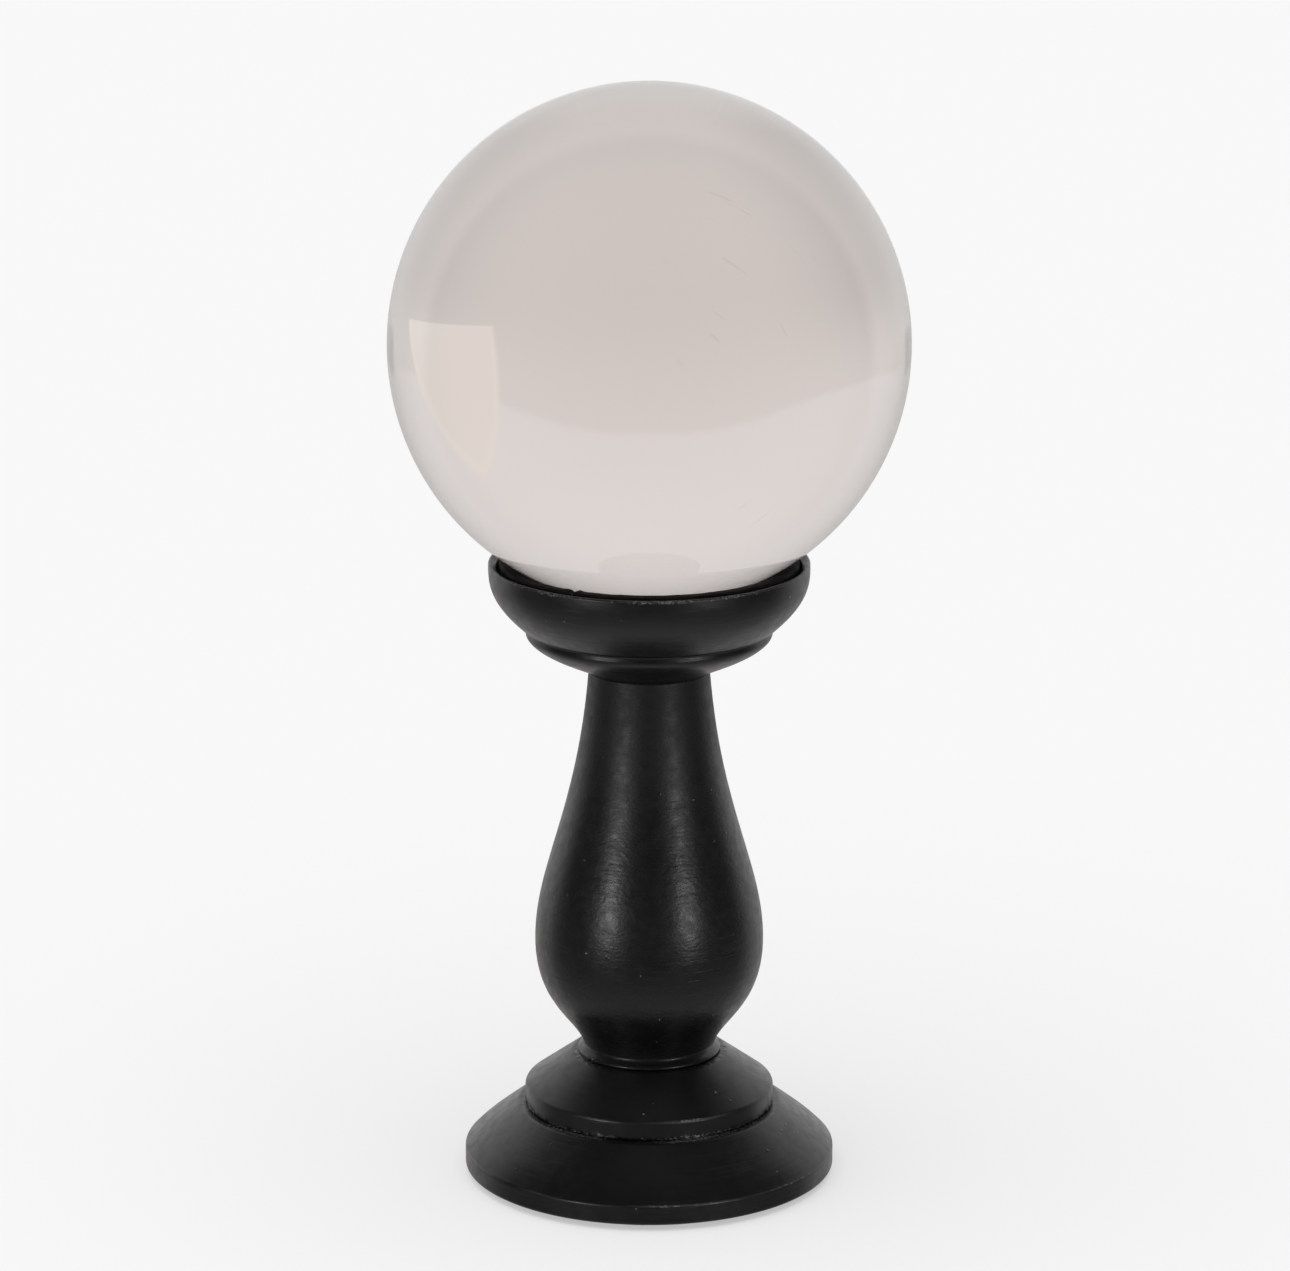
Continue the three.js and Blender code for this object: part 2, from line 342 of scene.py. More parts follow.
class Coat(Recipe):
    """The recipe of one material, with the object coordinates that its effects lie on."""

    def __init__(self, material: bpy.types.Material) -> None:
        """Empties the material's tree and reads the coordinates, in metres.

        Args:
            material: The material.
        """
        material.use_nodes = True
        material.node_tree.nodes.clear()
        super().__init__(material.node_tree)
        self.place = self.add("ShaderNodeTexCoord").outputs["Object"]

    def lay(self, group: type[NodeGroup], **values: object) -> Sockets:
        """Lays a shared effect on the piece.

        Args:
            group: The effect.
            **values: Its inputs.

        Returns:
            Its outputs.
        """
        tree = bpy.data.node_groups.get(group.name) or group().tree
        return self.add("ShaderNodeGroup", {"Vector": self.place, **values}, node_tree=tree).outputs

    def bump(self, *layers: tuple[object, float]) -> Socket:
        """Stacks bumps.

        Args:
            *layers: The height of each layer, from 0 to 1, and how high it stands in metres.

        Returns:
            The bumped normal.
        """
        normal = {}
        for height, rise in layers:
            inputs = {"Height": height, "Distance": rise, "Strength": 1.0, **normal}
            normal = {"Normal": self.add("ShaderNodeBump", inputs).outputs[0]}
        return normal["Normal"]

    def surface(self, body: Socket, rough: Socket, normal: Socket, plain: dict[str, float]) -> Sockets:
        """Adds the shader.

        Args:
            body: Its colour.
            rough: Its roughness.
            normal: Its normal.
            plain: The inputs that are plain numbers.

        Returns:
            What feeds the material output.
        """
        inputs = {"Base Color": body, "Roughness": rough, "Normal": normal, **plain}
        return {"Surface": self.add("ShaderNodeBsdfPrincipled", inputs).outputs[0]}


# Finishes.


@dataclass(frozen=True)
class Finish:
    """A finish with its own material."""

    title: str = "finish"
    slot: Slot = Slot.PAINT

    def material(self) -> bpy.types.Material:
        """Builds the material once.

        Returns:
            The material, or the one that is there already.
        """
        material = bpy.data.materials.get(self.title)
        if not material:
            material = bpy.data.materials.new(self.title)
            coat = Coat(material)
            coat.add("ShaderNodeOutputMaterial", self.dress(coat))
        return material

    def dress(self, coat: Coat) -> Sockets:
        """Builds the shader and returns what feeds the material output."""
        raise NotImplementedError


@dataclass(frozen=True)
class SatinBlackPaint(Finish):
    """Black paint brushed on turned wood, with a satin shine."""

    title: str = "black_paint_satin"
    slot: Slot = Slot.PAINT
    body: Colour = (0.0024, 0.0023, 0.0025)
    thin: Colour = (0.0040, 0.0038, 0.0038)
    # Grey of rubbed paint, also used for the painted highlight lines along the arrises.
    rubbed_and_highlight: Colour = (0.073, 0.073, 0.074)
    dust: Colour = (0.15, 0.15, 0.15)
    gloss_roughness: float = 0.34
    worn_roughness: float = 0.5
    peel_rise: float = 4e-5
    ring_rise: float = 1.8e-5
    line_rise: float = 1.5e-5
    nib_rise: float = 7e-5
    neck_low: float = 0.072
    neck_high: float = 0.112
    neck_dull: float = 0.0

    def dress(self, coat: Coat) -> Sockets:
        """Layers rings, dimples, nibs, worn arrises and painted highlight lines along the arrises on black.

        Args:
            coat: The material's recipe.

        Returns:
            What feeds the material output.
        """
        arris = coat.add("ShaderNodeAttribute", attribute_name="arris").outputs["Fac"]
        grime = coat.add("ShaderNodeAttribute", attribute_name="crumbs").outputs["Fac"]
        rings = coat.lay(TurningMarks)
        peel = coat.lay(OrangePeel)
        wear_and_highlight = coat.lay(EdgeWearAndHighlight, Arris=arris, Spots=1900.0, Amount=0.1)
        nibs = coat.lay(Specks, Spacing=260.0, Size=0.05, Share=0.7)
        crumbs = coat.lay(EdgeWearAndHighlight, Arris=grime, Spots=2300.0, Amount=0.28)
        cloud = coat.noise(coat.place, 70.0, 3.0)
        body = coat.mix(coat.ramp(cloud, 0.35, 0.7), self.body, self.thin)
        body = coat.mix(coat.times(rings["Lines"], 0.03), body, self.rubbed_and_highlight)
        # Painted highlight: a thin lighter line along each arris.
        body = coat.mix(coat.times(wear_and_highlight["Line"], 0.26), body, self.rubbed_and_highlight)
        body = coat.mix(wear_and_highlight["Mask"], body, self.rubbed_and_highlight)
        loose = coat.math("MAXIMUM", nibs["Mask"], coat.times(crumbs["Mask"], 0.7))
        body = coat.mix(coat.times(loose, 0.8), body, self.dust)
        patch = coat.ramp(coat.noise(coat.place, 420.0, 2.0), 0.3, 0.7, -0.04, 0.05)
        rough = coat.plus(patch, self.gloss_roughness)
        if self.neck_dull:
            height = coat.add("ShaderNodeSeparateXYZ", {0: coat.place}).outputs[2]
            rough = coat.plus(rough, coat.ramp(height, self.neck_low, self.neck_high, 0.0, self.neck_dull))
        rough = coat.ramp(wear_and_highlight["Mask"], 0.0, 1.0, rough, self.worn_roughness)
        normal = coat.bump(
            (rings["Height"], self.ring_rise),
            (rings["Lines"], self.line_rise),
            (peel["Height"], self.peel_rise),
            (nibs["Soft"], self.nib_rise),
            (crumbs["Mask"], self.nib_rise),
        )
        return coat.surface(body, rough, normal, {"IOR": 1.5})


@dataclass(frozen=True)
class ClearGlass(Finish):
    """Polished glass with a faint warm tint through its depth."""

    title: str = "clear_glass_polished"
    slot: Slot = Slot.GLASS
    marked: Colour = (0.7, 0.68, 0.67)
    depth_tint: Colour = (0.362, 0.158, 0.04)
    depth_density: float = 4.5
    ior: float = 1.5
    scratch_roughness: float = 0.10
    scratch_rise: float = 6e-7

    def dress(self, coat: Coat) -> Sockets:
        """Adds a few hairline scratches and pits to clear glass.

        Args:
            coat: The material's recipe.

        Returns:
            What feeds the material output.
        """
        turn = {"Vector": coat.place, "Rotation": (0.5, 0.9, 0.3), "Scale": (1.0, 14.0, 1.0)}
        turned = coat.add("ShaderNodeMapping", turn).outputs[0]
        hair = coat.ramp(coat.noise(turned, 95.0, 1.0), 0.705, 0.725)
        scratches = coat.times(hair, coat.ramp(coat.noise(coat.place, 34.0, 1.0), 0.58, 0.66))
        pits = coat.lay(Specks, Spacing=160.0, Size=0.03, Share=0.4)
        marks = coat.math("MAXIMUM", scratches, pits["Mask"])
        smear = coat.ramp(coat.noise(coat.place, 26.0, 3.0), 0.35, 0.75, 0.0, 0.012)
        rough = coat.plus(coat.times(marks, self.scratch_roughness), smear)
        tint = coat.mix(coat.times(marks, 0.3), WHITE, self.marked)
        plain = {"IOR": self.ior, "Metallic": 0.0, "Transmission Weight": 1.0}
        surface = coat.surface(tint, rough, coat.bump((marks, -self.scratch_rise)), plain)
        depth = {"Color": rgba(self.depth_tint), "Density": self.depth_density}
        return {**surface, "Volume": coat.add("ShaderNodeVolumeAbsorption", depth).outputs[0]}


@dataclass(frozen=True)
class SoftFinish(Finish):
    """Flock or felt."""

    title: str = "black_flock_nap"
    slot: Slot = Slot.FLOCK
    nap: Nap = Nap.FLOCKED
    dark: Colour = (0.0025, 0.0024, 0.0025)
    light: Colour = (0.0125, 0.0105, 0.0095)
    lint: Colour = (0.16, 0.15, 0.14)
    rise: float = 6e-5

    def dress(self, coat: Coat) -> Sockets:
        """Mixes light and dark fibres, with a little lint.

        Args:
            coat: The material's recipe.

        Returns:
            What feeds the material output.
        """
        fibres = coat.lay(Fibres, Scale=2100.0 if self.nap is Nap.FLOCKED else 1200.0)
        lint = coat.lay(Specks, Spacing=420.0, Size=0.05, Share=0.07)
        body = coat.mix(fibres["Shade"], self.dark, self.light)
        body = coat.mix(coat.times(lint["Mask"], 0.7), body, self.lint)
        rough = coat.ramp(fibres["Shade"], 0.0, 1.0, 0.62, 0.9)
        normal = coat.bump((fibres["Height"], self.rise))
        return coat.surface(body, rough, normal, {"Specular IOR Level": 0.12})


@dataclass(frozen=True)
class ZincSteel(Finish):
    """Zinc plated steel with a faint yellow pass and rubbed crests."""

    title: str = "zinc_steel_plated"
    slot: Slot = Slot.STEEL
    bright: Colour = (0.62, 0.60, 0.53)
    dull: Colour = (0.40, 0.37, 0.29)

    def dress(self, coat: Coat) -> Sockets:
        """Clouds the plating and scratches it round the axis.

        Args:
            coat: The material's recipe.

        Returns:
            What feeds the material output.
        """
        marks = coat.lay(TurningMarks, Pitch=2400.0)
        cloud = coat.ramp(coat.noise(coat.place, 330.0, 3.0), 0.35, 0.65)
        rough = coat.ramp(coat.noise(coat.place, 900.0, 2.0), 0.3, 0.7, 0.26, 0.44)
        body = coat.mix(cloud, self.bright, self.dull)
        return coat.surface(body, rough, coat.bump((marks["Height"], 4e-6)), {"Metallic": 1.0})


@dataclass(frozen=True)
class Beech(Finish):
    """Plain beech with small dark flecks along its grain."""

    title: str = "beech_plain"
    slot: Slot = Slot.BEECH
    pale: Colour = (0.52, 0.33, 0.18)
    brown: Colour = (0.33, 0.18, 0.085)
    fleck: Colour = (0.16, 0.075, 0.032)

    def dress(self, coat: Coat) -> Sockets:
        """Runs the grain up the piece.

        Args:
            coat: The material's recipe.

        Returns:
            What feeds the material output.
        """
        grain = coat.stretched(coat.place, 1.0, 0.07)
        bands = coat.ramp(coat.noise(grain, 900.0, 4.0), 0.3, 0.7)
        flecks = coat.ramp(coat.noise(grain, 2600.0, 1.0), 0.66, 0.72)
        body = coat.mix(flecks, coat.mix(bands, self.pale, self.brown), self.fleck)
        rough = coat.ramp(bands, 0.0, 1.0, 0.6, 0.78)
        return coat.surface(body, rough, coat.bump((bands, 2e-5), (flecks, -2e-5)), {})


SMOOTH_PAINT = SatinBlackPaint(title="black_paint_smooth", peel_rise=1.2e-5, line_rise=8e-6)
HANDLED_PAINT = SatinBlackPaint(title="black_paint_handled", peel_rise=4.5e-5, neck_dull=0.16)
GREEN_FELT = SoftFinish(
    title="green_felt_pressed",
    slot=Slot.FELT,
    nap=Nap.PRESSED,
    dark=(0.006, 0.013, 0.009),
    light=(0.020, 0.040, 0.028),
    lint=(0.12, 0.13, 0.11),
    rise=8e-5,
)


# Bench work: what a turner does to every piece.


class Profile:
    """An outline drawn cut by cut, each from where the last one ended, in millimetres."""

    def __init__(self, start: Spot, step: float = 0.5) -> None:
        """Starts the outline.

        Args:
            start: Its first point (radius, height).
            step: About how far apart its points lie.
        """
        self.points: Outline = [start]
        self.here = start
        self.step = step

    def to(self, *spots: Spot) -> Self:
        """Adds spots as they are, and drops those that repeat.

        Args:
            *spots: The spots.

        Returns:
            The profile.
        """
        for spot in spots:
            if math.dist(self.points[-1], spot) > SAME_SPOT:
                self.points.append(spot)
        self.here = spots[-1]
        return self

    def line(self, end: Spot, step: float | None = None) -> Self:
        """Adds a straight cut.

        Args:
            end: Its last point.
            step: About how far apart its points lie, if not as in the rest.

        Returns:
            The profile.
        """
        start = self.here
        count = max(1, round(math.dist(start, end) / (step or self.step)))
        for i in range(1, count + 1):
            self.to(tuple(start[k] + (end[k] - start[k]) * i / count for k in (0, 1)))
        self.here = end
        return self

    def curve(self, lower: Spot, upper: Spot, end: Spot, step: float | None = None) -> Self:
        """Adds a cubic curve.

        Args:
            lower: Its first handle.
            upper: Its second handle.
            end: Its last point.
            step: About how far apart its points lie, if not as in the rest.

        Returns:
            The profile.
        """
        corners = (self.here, lower, upper, end)
        reach = sum(math.dist(a, b) for a, b in zip(corners, corners[1:]))
        count = max(2, round(0.9 * reach / (step or self.step)))
        for i in range(1, count + 1):
            t = i / count
            weights = ((1 - t) ** 3, 3 * t * (1 - t) ** 2, 3 * t * t * (1 - t), t**3)
            self.to(tuple(sum(w * c[k] for w, c in zip(weights, corners)) for k in (0, 1)))
        self.here = end
        return self

    def corner(self, corner: Spot, end: Spot, count: int = 5) -> Self:
        """Rounds a corner.

        Args:
            corner: The sharp corner.
            end: Where the rounding ends.
            count: How many points it takes.

        Returns:
            The profile.
        """
        start = self.here
        for i in range(1, count + 1):
            t = i / count
            near, mid, far = (1 - t) ** 2, 2 * t * (1 - t), t * t
            self.to(tuple(near * start[k] + mid * corner[k] + far * end[k] for k in (0, 1)))
        self.here = end
        return self


def tool_marks(points: Outline, depth: float, pitch: float, seed: int) -> Outline:
    """Moves the points of a cut surface in and out a little, as a gouge leaves it.

    Args:
        points: The smooth outline.
        depth: How deep the marks go, in millimetres.
        pitch: How far apart they lie, in millimetres.
        seed: Which marks these are.

    Returns:
        The marked outline, with its ends where they were.
    """
    marked = [points[0]]
    run = 0.0
    total = sum(math.dist(a, b) for a, b in zip(points, points[1:]))
    for before, here, after in zip(points, points[1:], points[2:]):
        run += math.dist(before, here)
        along = (after[0] - before[0], after[1] - before[1])
        length = math.hypot(*along) or 1.0
        wave = noise.noise(Vector((run / pitch, seed * 3.7, 0.0)))
        wave += 0.6 * noise.noise(Vector((run / pitch * 2.7, seed, 5.0)))
        shift = depth * wave * min(1.0, run / 1.5, (total - run) / 1.5)
        marked.append((here[0] + along[1] / length * shift, here[1] - along[0] / length * shift))
    marked.append(points[-1])
    return marked


def select_only(piece: Piece | None) -> None:
    """Selects one piece and makes it active, or selects none.

    Args:
        piece: The piece, or None.
    """
    if bpy.context.object and bpy.context.object.mode != "OBJECT":
        bpy.ops.object.mode_set(mode="OBJECT")
    bpy.ops.object.select_all(action="DESELECT")
    if piece:
        piece.select_set(True)
        bpy.context.view_layer.objects.active = piece


def drawn_outline(title: str, points: Outline, lift: float) -> Piece:
    """Draws an outline in the XZ plane, one vertex after another.

    Args:
        title: The piece's name.
        points: Points (radius, height) in millimetres.
        lift: The height of the outline's zero, in metres.

    Returns:
        The piece, in edit mode with its outline selected.
    """
    select_only(None)
    bpy.ops.mesh.primitive_plane_add(size=MM, location=(0, 0, 0))
    piece = bpy.context.active_object
    piece.name = title
    piece.data.name = title
    bpy.ops.object.mode_set(mode="EDIT")
    bpy.ops.mesh.merge(type="CENTER")
    spots = [Vector((r * MM, 0.0, lift + h * MM)) for r, h in points]
    bpy.ops.transform.translate(value=spots[0])
    for here, there in zip(spots, spots[1:]):
        bpy.ops.mesh.extrude_vertices_move(TRANSFORM_OT_translate={"value": there - here})
    bpy.ops.mesh.select_all(action="SELECT")
    return piece


def smooth(piece: Piece) -> None:
    """Shades a piece smooth, except across sharp edges."""
    select_only(piece)
    bpy.ops.object.shade_smooth_by_angle(angle=SMOOTH_ANGLE)


def spun(title: str, points: Outline, steps: int, lift: float) -> Piece:
    """Turns a piece on the axis.

    Args:
        title: The piece's name.
        points: Its closed outline, or one that starts and ends on the axis.
        steps: Steps round the axis.
        lift: The height of the outline's zero, in metres.

    Returns:
        The turned piece, closed and facing out.
    """
    piece = drawn_outline(title, points, lift)
    bpy.ops.mesh.spin(steps=steps, angle=FULL_TURN, center=(0, 0, 0), axis=(0, 0, 1))
    bpy.ops.mesh.select_all(action="SELECT")
    bpy.ops.mesh.remove_doubles(threshold=DOUBLES)
    bpy.ops.mesh.normals_make_consistent(inside=False)
    bpy.ops.object.mode_set(mode="OBJECT")
    smooth(piece)
    return piece


def mark_rings(piece: Piece, name: str, rings: list[Ring]) -> None:
    """Marks the vertices near some rings of the stand, for the finish to read.

    Args:
        piece: The turned piece.
        name: The attribute's name.
        rings: Radius, height and reach of each ring, in millimetres.
    """
    attribute = piece.data.attributes.new(name, "FLOAT", "POINT")
    values = []
    for vertex in piece.data.vertices:
        radius = math.hypot(vertex.co.x, vertex.co.y) / MM
        height = (vertex.co.z - DATUM.foot) / MM
        best = 0.0
        for ring_radius, ring_height, reach in rings:
            gap = math.hypot(radius - ring_radius, height - ring_height) / reach
            best = max(best, math.exp(-gap * gap))
        values.append(best)
    attribute.data.foreach_set("value", values)


def reshape(piece: Piece, move: Callable[[Vector, Vector], Vector]) -> None:
    """Moves every vertex of a piece.

    Args:
        piece: The piece.
        move: Gives a vertex's new place from its old place and its normal.
    """
    count = len(piece.data.vertices)
    places = [0.0] * (3 * count)
    normals = [0.0] * (3 * count)
    piece.data.vertices.foreach_get("co", places)
    piece.data.vertices.foreach_get("normal", normals)
    for i in range(0, 3 * count, 3):
        places[i : i + 3] = move(Vector(places[i : i + 3]), Vector(normals[i : i + 3]))
    piece.data.vertices.foreach_set("co", places)
    piece.data.update()


def wander(piece: Piece, size: float, rise: float, seed: float) -> None:
    """Makes the paint's thickness wander a little over a piece.

    Args:
        piece: The piece.
        size: Size of the hollows and swells, in metres.
        rise: How far the surface moves, in metres.
        seed: Which pattern it is.
    """
    shift = Vector((seed, seed * 1.7, seed * 2.3))
    reshape(piece, lambda place, normal: place + normal * (rise * noise.noise(place / size + shift)))


def fray(piece: Piece, radius: float, height: float, reach: float, depth: float) -> None:
    """Leaves the paint ragged where it broke along a seam.

    Args:
        piece: The piece.
        radius: Radius of the seam, in millimetres.
        height: Height of the seam, in millimetres.
        reach: How far from the seam the paint is ragged, in millimetres.
        depth: How deep the ragged edge goes, in metres.
    """

    def tear(place: Vector, normal: Vector) -> Vector:
        """Pulls a vertex in or lets a crumb of paint stand.

        Args:
            place: Where the vertex is.
            normal: Its normal.

        Returns:
            Its new place.
        """
        across = math.hypot(place.x, place.y) / MM - radius
        up = (place.z - DATUM.foot) / MM - height
        near = math.exp(-(across * across + up * up) / (reach * reach))
        if near < 0.05:
            return place
        torn = noise.noise(place / 0.0011) + 0.7 * noise.noise(place / 0.0005) - 0.15
        return place + normal * (depth * near * torn)

    reshape(piece, tear)


def keep(piece: Piece, finish: Finish, body: Body, *nodes: str) -> Piece:
    """Dresses a finished piece and puts it on its body.

    Args:
        piece: The finished piece.
        finish: What it is finished in.
        body: What it moves with.
        *nodes: The frame's nodes that it stands for.

    Returns:
        The piece.
    """
    piece.data.materials.clear()
    piece.data.materials.append(finish.material())
    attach(piece, body.value)
    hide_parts(*nodes)
    LOG.info("%s: %d faces, rides on %s", piece.name, len(piece.data.polygons), body.value)
    return piece


# The stand.


@dataclass
class Turning:
    """A painted turning of the stand, with its marks, swells and worn rings, and painted highlight lines on
    its arrises.
    """

    title: str = ""
    node: str = ""
    marks: tuple[float, float, int] = (0.02, 1.0, 0)
    swells: tuple[float, float, float] = (0.008, 8e-6, 0.0)
    steps: int = 176
    finish: Finish = SMOOTH_PAINT

    def outline(self) -> Outline:
        """Returns the closed outline of the piece, or one that starts and ends on the axis."""
        raise NotImplementedError

    def seams(self) -> list[tuple[float, float, float, float]]:
        """Returns the radius, height, reach and depth of each frayed seam."""
        return []

    def arrises(self) -> list[Ring]:
        """Returns the arrises, which get rubbed spots and a painted highlight line."""
        return []

    def crumbs(self) -> list[Ring]:
        """Returns the rings where crumbs of paint and dust lie."""
        return []

    def build(self) -> Piece:
        """Turns, wears and paints the piece.

        Returns:
            The piece.
        """
        piece = spun(self.title, self.outline(), self.steps, DATUM.foot)
        wander(piece, *self.swells)
        for seam in self.seams():
            fray(piece, *seam)
        for name, rings in (("arris", self.arrises()), ("crumbs", self.crumbs())):
            if rings:
                mark_rings(piece, name, rings)
        return keep(piece, self.finish, Body.STAND, self.node)


@dataclass
class Foot(Turning):
    """The lower disc of the base, with the recess for the screw head below."""

    title: str = "turned_foot"
    node: str = "foot_disc"
    marks: tuple[float, float, int] = (0.02, 1.3, 3)
    swells: tuple[float, float, float] = (0.009, 8e-6, 4.1)
    radius: float = 40.0
    top: float = 14.0
    band_top: float = 4.3
    top_radius: float = 28.3
    lower_edge: float = 0.5
    recess_radius: float = 8.0
    recess_depth: float = 3.5
    hole: float = 2.55
    step: float = 0.26

    def outline(self) -> Outline:
        """Draws the band and the sloping top, then the hole and the recess.

        Returns:
            The closed outline.
        """
        rim, band, shoulder = self.radius, self.band_top, self.top_radius
        outside = Profile((rim - self.lower_edge, 0), self.step)
        outside.corner((rim - 0.1, 0.1), (rim, self.lower_edge), 8)
        outside.line((rim, band - 0.45)).corner((rim, band), (rim - 0.5, band + 0.42), 6)
        outside.curve((37.4, 6.95), (35.4, 8.5), (34.3, 9.35))
        outside.curve((32.6, 10.72), (30.4, 12.35), (shoulder + 0.4, 13.72))
        outside.corner((shoulder, self.top), (shoulder - 0.5, self.top), 4)
        inside = [
            (self.hole, self.top),
            (self.hole, self.recess_depth),
            (self.recess_radius, self.recess_depth),
            (self.recess_radius, 0.0),
            (rim - self.lower_edge, 0.0),
        ]
        return tool_marks(outside.points, *self.marks) + inside

    def arrises(self) -> list[Ring]:
        """Returns the top of the band."""
        return [(self.radius - 0.12, self.band_top, 0.34)]

    def crumbs(self) -> list[Ring]:
        """Returns the seam under the plinth."""
        return [(27.4, 14.0, 0.9)]


@dataclass
class Plinth(Turning):
    """The upper disc of the base, with the socket for the pillar."""

    title: str = "turned_plinth"
    node: str = "plinth_disc"
    marks: tuple[float, float, int] = (0.018, 1.2, 7)
    swells: tuple[float, float, float] = (0.008, 8e-6, 9.3)
    radius: float = 26.9
    bottom: float = 14.1
    band_top: float = 18.2
    top: float = 25.7
    slope_top: float = 16.6
    socket: float = 9.3
    socket_floor: float = 17.4
    hole: float = 2.55
    edge: float = 0.45
    step: float = 0.26
    steps: int = 360

    def outline(self) -> Outline:
        """Draws the band and the sloping top, then the socket and the hole.

        Returns:
            The closed outline.
        """
        rim, low, band, edge = self.radius, self.bottom, self.band_top, self.edge
        outside = Profile((rim - edge, low), self.step)
        outside.corner((rim, low), (rim, low + edge))
        outside.line((rim, band - edge)).corner((rim, band), (rim - edge, band + 0.33), 6)
        outside.line((self.slope_top + 0.5, self.top - 0.36))
        outside.corner((self.slope_top, self.top), (self.slope_top - 0.6, self.top))
        inside = [
            (self.socket, self.top),
            (self.socket, self.socket_floor),
            (self.hole, self.socket_floor),
            (self.hole, low),
            (rim - edge, low),
        ]
        return tool_marks(outside.points, *self.marks) + inside

    def seams(self) -> list[tuple[float, float, float, float]]:
        """Returns the seams on the foot and under the collar."""
        on_foot = (self.radius, self.bottom + 0.1, 0.7, 3.4e-4)
        return [on_foot, (self.slope_top - 0.3, self.top, 0.45, 1.1e-4)]

    def arrises(self) -> list[Ring]:
        """Returns the top of the band."""
        return [(self.radius - 0.1, self.band_top - 0.05, 0.4)]

    def crumbs(self) -> list[Ring]:
        """Returns the two seams."""
        return [(self.radius, self.bottom + 0.2, 0.55), (15.9, 25.7, 0.7)]


@dataclass
class Pillar(Turning):
    """The pear-shaped pillar, with a collar and a spigot at each end."""

    title: str = "turned_pillar"
    node: str = "pillar"
    marks: tuple[float, float, int] = (0.02, 1.1, 11)
    swells: tuple[float, float, float] = (0.010, 1.2e-5, 1.9)
    collar_radius: float = 15.45
    bottom: float = 25.8
    neck: Spot = (14.3, 28.0)
    belly: Spot = (24.6, 51.0)
    top: Spot = (12.93, 111.0)
    lower_spigot: Spot = (9.0, 17.7)
    upper_spigot: Spot = (8.0, 116.0)
    lower_hole: Spot = (2.55, 62.2)
    upper_hole: Spot = (2.3, 89.3)
    step: float = 0.3
    steps: int = 144
    finish: Finish = HANDLED_PAINT

    def outline(self) -> Outline:
        """Draws from the top of the lower hole round to the bottom of the upper one.

        Returns:
            The outline, which starts and ends on the axis.
        """
        low, rim = self.bottom, self.collar_radius
        waist, swell = self.neck, self.belly
        outside = Profile((rim - 0.4, low), self.step)
        outside.corner((rim, low), (rim, low + 0.4))
        outside.curve((rim, low + 0.95), (waist[0], low + 1.35), waist, self.step * 0.7)
        outside.curve((16.5, 34.2), (swell[0], 37.2), swell)
        outside.curve((swell[0], 67.2), (15.39, 79.2), self.top)
        bore, bore_top = self.lower_hole
        pilot, pilot_low = self.upper_hole
        below = [(0.0, bore_top), (bore, bore_top - bore), (bore, self.lower_spigot[1])]
        below += [self.lower_spigot, (self.lower_spigot[0], low)]
        above = [(self.upper_spigot[0], self.top[1]), self.upper_spigot, (pilot, self.upper_spigot[1])]
        above += [(pilot, pilot_low + pilot), (0.0, pilot_low)]
        return below + tool_marks(outside.points, *self.marks) + above

    def crumbs(self) -> list[Ring]:
        """Returns the seam on the plinth."""
        return [(self.collar_radius, self.bottom + 0.2, 0.7)]


@dataclass
class Cup(Turning):
    """The ball cup: a bead, a cove and a bowl outside, a rebate and a dish inside."""

    title: str = "turned_cup"
    node: str = "ball_cup"
    marks: tuple[float, float, int] = (0.016, 1.0, 19)
    swells: tuple[float, float, float] = (0.008, 8e-6, 6.6)
    bottom: float = 111.1
    bottom_radius: float = 12.9
    bead: Spot = (26.3, 119.4)
    bowl_start: Spot = (27.2, 121.0)
    radius: float = 34.15
    bowl_top: float = 133.0
    lip: float = 134.8
    lip_edge: float = 0.5
    rebate: Spot = (32.3, 130.2)
    dish_mouth: float = 23.2
    dish: Spot = (15.5, 121.0)
    head_hole: float = 4.3
    hole: float = 2.3
    socket: Spot = (8.3, 116.6)
    step: float = 0.24

    def outside(self) -> Outline:
        """Draws from the joint with the pillar up to the lip.

        Returns:
            The outline of the outside.
        """
        bead, start, rim, edge = self.bead, self.bowl_start, self.radius, self.lip_edge
        cove = (bead[0] - 0.15, start[1] - 0.75)
        fine = self.step * 0.5
        profile = Profile((self.bottom_radius, self.bottom), self.step)
        profile.curve((13.4, 112.1), (bead[0], 116.2), bead)
        profile.curve((bead[0] + 0.02, bead[1] + 0.3), (cove[0] - 0.02, cove[1] - 0.25), cove, fine)
        profile.curve((cove[0] + 0.05, cove[1] + 0.35), (start[0] - 0.6, start[1] - 0.25), start, fine)
        profile.curve((32.4, 125.6), (rim, 128.7), (rim, self.bowl_top))
        profile.line((rim, self.lip - edge)).corner((rim, self.lip), (rim - edge, self.lip), 8)
        return profile.points

    def inside(self) -> Outline:
        """Draws from the lip down through the rebate and the dish to the screw hole and the socket.

        Returns:
            The outline of the inside.
        """
        wall, floor = self.rebate
        foot, dish_floor = self.dish
        profile = Profile((self.radius - self.lip_edge, self.lip))
        profile.line((wall + 0.2, self.lip - 0.85), 0.4)
        profile.corner((wall, self.lip - 0.98), (wall, self.lip - 1.3))
        profile.line((wall, floor)).line((self.dish_mouth, floor), 0.8)
        profile.curve((self.dish_mouth, 125.5), (20.5, dish_floor), (foot, dish_floor))
        profile.line((self.head_hole, dish_floor), 0.8)
        profile.to((self.head_hole, 120.5), (self.hole, 118.6), (self.hole, self.socket[1]))
        profile.to(self.socket, (self.socket[0], self.bottom), (self.bottom_radius, self.bottom))
        return profile.points

    def outline(self) -> Outline:
        """Returns the closed outline."""
        return tool_marks(self.outside(), *self.marks) + self.inside()

    def arrises(self) -> list[Ring]:
        """Returns the lip."""
        return [(self.radius - 0.1, self.lip - 0.3, 0.25)]

    def crumbs(self) -> list[Ring]:
        """Returns the two edges of the lip."""
        return [(self.radius - 0.15, self.lip - 0.3, 0.36), (self.rebate[0] + 0.2, self.lip - 0.1, 0.5)]


# The seat and the ball.


